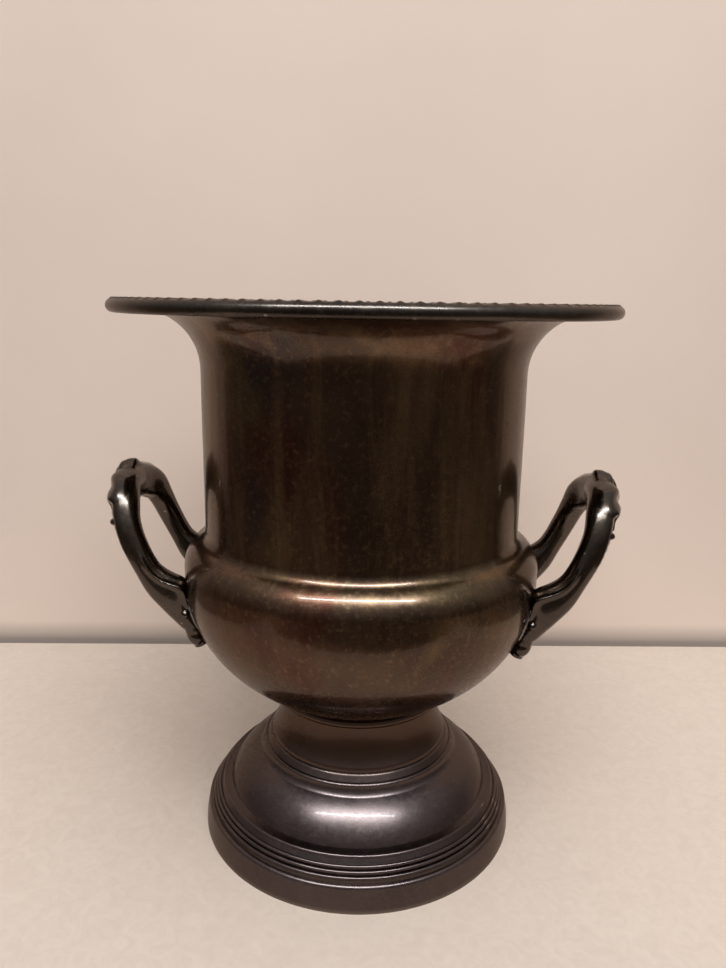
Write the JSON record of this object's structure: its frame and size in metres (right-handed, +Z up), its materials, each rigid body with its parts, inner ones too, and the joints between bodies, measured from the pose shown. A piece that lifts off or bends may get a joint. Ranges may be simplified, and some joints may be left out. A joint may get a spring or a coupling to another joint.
{
  "type": "champagne bucket",
  "caption": "Urn-shaped bucket on a stepped pedestal foot, with a broad beaded rim and two cast loop handles, for chilling a bottle in ice.",
  "frame": {"origin": "centre of the foot's standing face, on the surface that the bucket stands on", "axes": "+Z up along the bucket's turning axis; +X towards the right handle, -Y towards the front"},
  "size_m": [0.2428, 0.225, 0.259],
  "materials": {
    "bowl_metal": "glossy tarnished silverplate, dark brown with olive and copper streaks",
    "rim_metal": "tarnished silverplate, dark brown with paler wear on the beads",
    "handle_metal": "glossy cast metal, dark grey-brown tarnish",
    "foot_metal": "smooth tarnished silverplate, purplish brown",
    "solder": "dull solder",
    "hidden_metal": "dull drawn wire",
    "fixing_metal": "dull machined steel"
  },
  "bodies": {
    "root": {"bowl": "bowl_metal", "rim_moulding": "rim_metal", "rim_wire": "hidden_metal", "handle_left": "handle_metal", "handle_right": "handle_metal", "solder_seats": "solder", "collar_ring": "foot_metal", "foot": "foot_metal", "base_wire": "hidden_metal", "centre_stud": "fixing_metal", "foot_washer": "fixing_metal", "foot_nut": "fixing_metal"}
  },
  "joints": []
}
